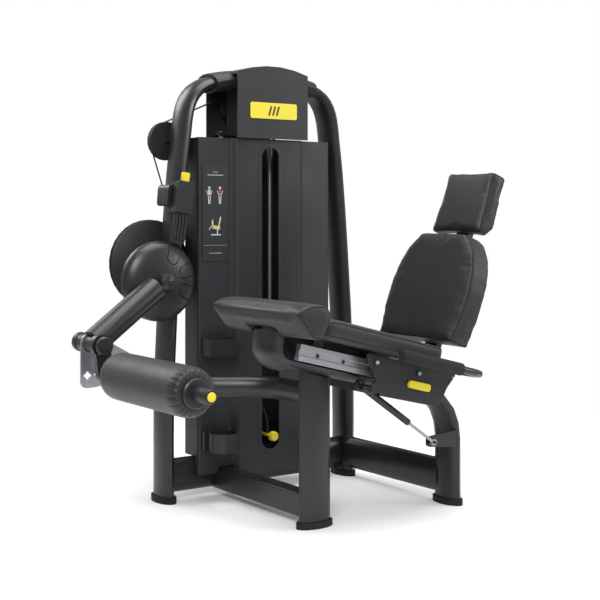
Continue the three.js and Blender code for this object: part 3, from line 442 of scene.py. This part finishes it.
def sharp_chains(node, steep=math.radians(50)):
    """The CAD pad's rims and corners as runs of points, where two faces meet at a steep angle."""
    shape = welded(NODES[node].data)
    edges = [e for e in shape.edges if len(e.link_faces) == 2 and e.calc_face_angle(0) > steep]
    neighbours = {}
    for edge in edges:
        a, b = edge.verts
        neighbours.setdefault(a.index, []).append(b.index)
        neighbours.setdefault(b.index, []).append(a.index)
    places = {v.index: v.co.copy() for v in shape.verts}
    shape.free()
    used, chains = set(), []
    ends = [v for v, near in neighbours.items() if len(near) != 2]
    for start in ends + list(neighbours):
        for nearby in neighbours[start]:
            if frozenset((start, nearby)) in used:
                continue
            chain, here, ahead = [start], start, nearby
            while ahead is not None:
                used.add(frozenset((here, ahead)))
                chain.append(ahead)
                here = ahead
                free = [n for n in neighbours[here] if frozenset((here, n)) not in used]
                ahead = free[0] if len(neighbours[here]) == 2 and free else None
            chains.append([places[i] for i in chain])
    return chains


def seam_points(chain, tree, step=8 * MM, proud=0.2 * MM):
    """A chain cut into short steps and laid on the pad's surface."""
    points = []
    for a, b in zip(chain, chain[1:]):
        count = max(1, round((b - a).length / step))
        points += [a.lerp(b, k / count) for k in range(count)]
    points.append(chain[-1])
    laid = []
    for point in points:
        spot, normal, _, _ = tree.find_nearest(point)
        laid.append(spot + normal * proud)
    return laid


def add_seams(node, piece, body, materials):
    """A fine welt along every rim of the pad."""
    mesh = piece.data
    tree = BVHTree.FromPolygons([v.co for v in mesh.vertices], [tuple(f.vertices) for f in mesh.polygons])
    lines = [seam_points(chain, tree) for chain in sharp_chains(node)]
    seams = add_curve(node + "_seams", lines, 1.3 * MM, 2, materials["seam_thread"])
    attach(seams, body)


def gather_end(piece, node, folds=20, depth=2 * MM, reach=46 * MM):
    """Pleats the cover at the roller's near end, where it is drawn in round the axle."""
    low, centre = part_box(node)[0], middle(node)
    mesh = piece.data
    normals = [vertex.normal.copy() for vertex in mesh.vertices]
    for vertex, normal in zip(mesh.vertices, normals):
        fade = max(0.0, 1 - (vertex.co.y - low.y) / reach)
        angle = math.atan2(vertex.co.z - centre.z, vertex.co.x - centre.x)
        wave = 0.5 + 0.5 * math.sin(folds * angle + 1.3 * math.sin(3 * angle))
        vertex.co -= normal * depth * min(1.0, fade * 1.6) * wave ** 4


def slope_front(piece, node, drop=9 * MM, reach=90 * MM):
    """Lets the seat's top fall away under the knee bolster."""
    start = seat_point(0, 0, 0)
    along = Vector((math.cos(SEAT_SLOPE), 0, -math.sin(SEAT_SLOPE)))
    off = Vector((math.sin(SEAT_SLOPE), 0, math.cos(SEAT_SLOPE)))
    low, high = SEAT_PAD["low"], SEAT_PAD["high"]
    for vertex in piece.data.vertices:
        place = vertex.co - start
        near = max(0.0, 1 - place.dot(along) / reach)
        rise = max(0.0, place.dot(off) - low) / (high - low)
        vertex.co -= off * drop * near ** 2 * min(1.0, rise)


def add_pad(node, body, materials, voxel=7 * MM, shape=None):
    """A crowned, seamed cushion in place of a plain CAD pad."""
    piece = welded_copy(node, node + "_cover")
    add_modifier(piece, "REMESH", mode="VOXEL", voxel_size=voxel)
    add_modifier(piece, "SMOOTH", factor=0.5, iterations=10)
    bake(piece)
    inflate(piece, pressure=4.0, reach=6 * MM)
    add_modifier(piece, "SMOOTH", factor=0.5, iterations=3)
    add_modifier(piece, "SUBSURF", levels=1, render_levels=1)
    bake(piece)
    if shape is not None:
        shape(piece, node)
    keep_inside(piece, node)
    piece.data.shade_smooth()
    piece.data.materials.clear()
    piece.data.materials.append(materials["upholstery"])
    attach(piece, body)
    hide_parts(node)
    add_seams(node, piece, body, materials)


# ---- printed and fixed details -------------------------------------------------------------------
def slab(name, at, across, up, wide, high, thick, body, material):
    """A thin rectangular piece centred on a point, facing across x up."""
    out = across.cross(up)
    corners = [
        Vector(at) + across * (i * wide / 2) + up * (j * high / 2) + out * (k * thick / 2)
        for k in (-1, 1) for j in (-1, 1) for i in (-1, 1)
    ]
    faces = [(0, 2, 3, 1), (4, 5, 7, 6), (0, 1, 5, 4), (2, 6, 7, 3), (0, 4, 6, 2), (1, 3, 7, 5)]
    return add_mesh(name, corners, faces, body, material)


# Each stroke on the placard: across, up, width and height in mm, and lean in degrees.
FIGURE = [
    (0, 27, 8, 8, 0), (0, 12, 9, 18, 0), (-8, 10, 2.5, 17, -22), (8, 10, 2.5, 17, 22),
    (-3, -14, 3.5, 28, -4), (3, -14, 3.5, 28, 4),
]
SEAT_ICON = [
    (14, 10, 5, 40, 14), (0, -10, 30, 5, 10), (-14, 2, 3, 26, -6), (0, -32, 38, 4, 0), (-22, -8, 3, 16, 35),
    (6, -22, 4, 18, 0),
]
LINES = [(0, 141, 22, 1.6, 0), (0, 131, 62, 2.2, 0), (0, -110, 92, 0.8, 0), (0, -137, 50, 1.6, 0)]
# Each group: its name, strokes, place across and up in mm, and ink.
PLACARD = [
    ("line", LINES, 0, 0, "print"),
    ("figure_left", FIGURE, -24, 60, "print"),
    ("figure_right", FIGURE, 18, 60, "print"),
    ("figure_mark", FIGURE[1:2], 18, 62, "red_print"),
    ("seat", SEAT_ICON, 2, -42, "print"),
    ("seat_mark", SEAT_ICON[1:3], 4, -36, "yellow_plastic"),
]


def add_placard_print(materials, stand_off=1.6 * MM, thin=0.5 * MM, layer=0.08 * MM):
    """Generic strokes on the placard: two figures and a seat between plain lines."""
    across = Vector((math.cos(FACET_TURN), math.sin(FACET_TURN), 0))
    face = middle("placard") + across.cross(UP) * stand_off
    for order, (group, strokes, x, z, ink) in enumerate(PLACARD):
        thick = thin + layer * order
        for i, (dx, dz, wide, high, lean) in enumerate(strokes):
            turn = math.radians(lean)
            side = across * math.cos(turn) - UP * math.sin(turn)
            up = across * math.sin(turn) + UP * math.cos(turn)
            spot = face + across * (x + dx) * MM + UP * (z + dz) * MM
            slab(f"placard_{group}_{i}", spot, side, up, wide * MM, high * MM, thick, "base",
                 materials[ink])


def add_slot_rim(materials, turns=12):
    """The bevelled rim round the tower's slot."""
    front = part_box("shroud_front")[0].y
    section = [(17, 0.2), (15.5, 1.8), (3, 2.6), (-0.8, 0.2)]  # mm past the opening, mm out of the panel
    ends = [(SLOT["high"] - SLOT["half"], 0.0), (SLOT["low"] + SLOT["half"], math.pi)]
    verts, faces = [], []
    for beyond, proud in section:
        radius = SLOT["half"] + beyond * MM
        for centre, start in ends:
            for i in range(turns + 1):
                angle = start + math.pi * i / turns
                x, z = STACK_X + radius * math.cos(angle), centre + radius * math.sin(angle)
                verts.append((x, front - proud * MM, z))
    count = 2 * (turns + 1)
    for ring in range(len(section)):
        after = (ring + 1) % len(section)
        for i in range(count):
            j = (i + 1) % count
            faces.append((ring * count + i, ring * count + j, after * count + j, after * count + i))
    add_mesh("slot_rim", verts, faces, "base", materials["panel_paint"])


def add_badge_print(materials, pitch=16 * MM, wide=7 * MM, thick=0.5 * MM, lean=math.radians(18)):
    """Three plain slanted bars on the yellow badge."""
    low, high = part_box("badge_plate")
    centre = middle("badge_plate")
    up = Vector((math.sin(lean), 0, math.cos(lean)))
    across = Vector((math.cos(lean), 0, -math.sin(lean)))
    tall = (high.z - low.z) * 0.6
    for i in (-1, 0, 1):
        spot = Vector((centre.x + i * pitch, low.y - 0.2 * MM, centre.z))
        slab(f"badge_bar_{i + 1}", spot, across, up, wide, tall, thick, "base",
             materials["black_plastic"])


def add_plate_holes(materials, usual_pitch=25 * MM, mark=9 * MM):
    """A rimmed hole for the pin and a plain square mark on the front of every plate."""
    low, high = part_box("weight_plates")
    count = round((high.z - low.z) / usual_pitch)
    pitch = (high.z - low.z) / count
    profile = [(0, 0.1), (4.5, 0.1), (5, 0.9), (7.5, 0.9), (8, 0), (0, 0)]
    rim = [(radius * MM, along * MM) for radius, along in profile]
    for i in range(1, count):
        at = Vector((STACK_X, low.y + 0.1 * MM, low.z + (i + 0.5) * pitch))
        turned(f"plate_hole_{i:02d}", at, NEAR, rim, "stack", materials["bright_steel"], 20)
        beside = at + Vector((19 * MM, -0.4 * MM, 0))
        slab(f"plate_mark_{i:02d}", beside, RIGHT, UP, mark, mark, 0.6 * MM, "stack",
             materials["print"])


def add_lift_cable(materials, stroke=220 * MM, core=2.8 * MM):
    """The cable over the stack: its top stays put, and the rest slides up over it by the stack's stroke."""
    low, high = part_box("lift_cable")
    at = Vector(((low.x + high.x) / 2, (low.y + high.y) / 2, low.z))
    outer, long = (high.x - low.x) / 2, high.z - low.z
    join = long - stroke
    start = join - stroke * 0.1  # the fixed part begins inside the sliding part
    rubber = materials["black_rubber"]
    below = [(0, 0), (outer, 0), (outer, join), (0, join)]
    inside = [(0, start), (core, start), (core, long), (0, long)]
    sliding = turned("cable_below", at, UP, below, "stack", rubber, sides=12)
    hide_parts("lift_cable")
    turned("cable_inside", at, UP, inside, "base", rubber, sides=12)


def add_bolts(materials):
    """Screws where the moving pieces hang, and on the seat's near side."""
    steel, black = materials["bright_steel"], materials["black_plastic"]
    pivot = (STACK_X - 446 * MM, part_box("hub_cover")[0].y, middle("bearing_housing").z)
    bolt("pivot_bolt", pivot, NEAR, 8 * MM, "lever", black)
    for node in ("rear_pulley", "top_pulley"):
        at = Vector((middle(node).x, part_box(node)[1].y + 4 * MM, middle(node).z))
        bolt(f"{node}_bolt", at, FAR, 9 * MM, "base", steel)
    carriage_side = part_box("handle_bar")[0].y + 84 * MM
    for i, (along, off) in enumerate([(261, 20), (437, 16)]):
        bolt(f"carriage_bolt_{i}", seat_point(along * MM, off * MM, carriage_side), NEAR, 7 * MM, "carriage",
             steel)
    rail_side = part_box("rail_near")[0].y + 3 * MM
    for i, along in enumerate((70, 170)):
        bolt(f"rail_bolt_{i}", seat_point(along * MM, 0, rail_side), NEAR, 6 * MM, "base", black)


# ---- room and light ------------------------------------------------------------------------------
def floor_material(clear_from=1.2, clear_at=2.6):
    """Pale and matt in the middle, and fading to nothing further out."""
    material = bpy.data.materials.new("floor")
    material.use_nodes = True
    tree = material.node_tree
    shader = tree.nodes["Principled BSDF"]
    shader.inputs["Base Color"].default_value = (0.92, 0.92, 0.92, 1)
    shader.inputs["Roughness"].default_value = 0.6
    shader.inputs["Specular IOR Level"].default_value = 0.1
    where = tree.nodes.new("ShaderNodeTexCoord")
    distance = tree.nodes.new("ShaderNodeVectorMath")
    distance.operation = "LENGTH"
    link(tree, where.outputs["Object"], distance.inputs[0])
    fade = add_node(tree, "ShaderNodeMapRange", From_Min=clear_from, From_Max=clear_at)
    fade.interpolation_type = "SMOOTHSTEP"
    link(tree, distance.outputs["Value"], fade.inputs["Value"])
    clear = tree.nodes.new("ShaderNodeBsdfTransparent")
    blend = tree.nodes.new("ShaderNodeMixShader")
    link(tree, fade.outputs["Result"], blend.inputs["Fac"])
    link(tree, shader.outputs["BSDF"], blend.inputs[1])
    link(tree, clear.outputs["BSDF"], blend.inputs[2])
    link(tree, blend.outputs["Shader"], tree.nodes["Material Output"].inputs["Surface"])
    return material


def add_floor(reach=4):
    """A pale floor that fades out into the white room well away from the machine."""
    mesh = bpy.data.meshes.new("floor")
    corners = [(-reach, -reach, 0), (reach, -reach, 0), (reach, reach, 0), (-reach, reach, 0)]
    mesh.from_pydata(corners, [], [(0, 1, 2, 3)])
    mesh.materials.append(floor_material())
    floor = bpy.data.objects.new("floor", mesh)
    SCENE.collection.objects.link(floor)


# Each soft box: its name, place, size and power.
LIGHTS = [
    ("key", (-2.6, -3.4, 3.4), 1.8, 170),
    ("fill", (3.4, -2.6, 2.0), 1.6, 60),
    ("top", (0.2, -0.4, 4.4), 3.0, 170),
    ("back", (-1.5, 3.4, 3.2), 2.0, 80),
]


def add_light(name, at, size, power, towards=(0, 0, 0.8)):
    """A square soft box that faces the middle of the machine."""
    data = bpy.data.lights.new(name, "AREA")
    data.shape = "SQUARE"
    data.size = size
    data.energy = power
    lamp = bpy.data.objects.new(name, data)
    lamp.location = at
    lamp.rotation_euler = (Vector(towards) - Vector(at)).to_track_quat("-Z", "Y").to_euler()
    SCENE.collection.objects.link(lamp)


def light_room():
    """A white room that lights the machine at half strength, and soft boxes round it."""
    world = bpy.data.worlds.new("room")
    world.use_nodes = True
    tree = world.node_tree
    background = tree.nodes["Background"]
    background.inputs["Color"].default_value = (1, 1, 1, 1)
    rays = tree.nodes.new("ShaderNodeLightPath")
    strength = add_node(tree, "ShaderNodeMapRange", To_Min=0.5, To_Max=1.0)
    link(tree, rays.outputs["Is Camera Ray"], strength.inputs["Value"])
    link(tree, strength.outputs["Result"], background.inputs["Strength"])
    SCENE.world = world
    for light in LIGHTS:
        add_light(*light)
    SCENE.view_settings.view_transform = "Standard"


add_camera()
MATERIALS = make_materials()
add_tether(MATERIALS)
paint_frame(MATERIALS)
add_pad("seat_cushion", "base", MATERIALS, shape=slope_front)
add_pad("knee_bolster", "base", MATERIALS)
add_pad("backrest", "carriage", MATERIALS)
add_pad("headrest", "carriage", MATERIALS)
add_pad("roller_pad", "roller", MATERIALS, voxel=5 * MM, shape=gather_end)
add_placard_print(MATERIALS)
add_slot_rim(MATERIALS)
add_badge_print(MATERIALS)
add_plate_holes(MATERIALS)
add_lift_cable(MATERIALS)
add_bolts(MATERIALS)
add_floor()
light_room()
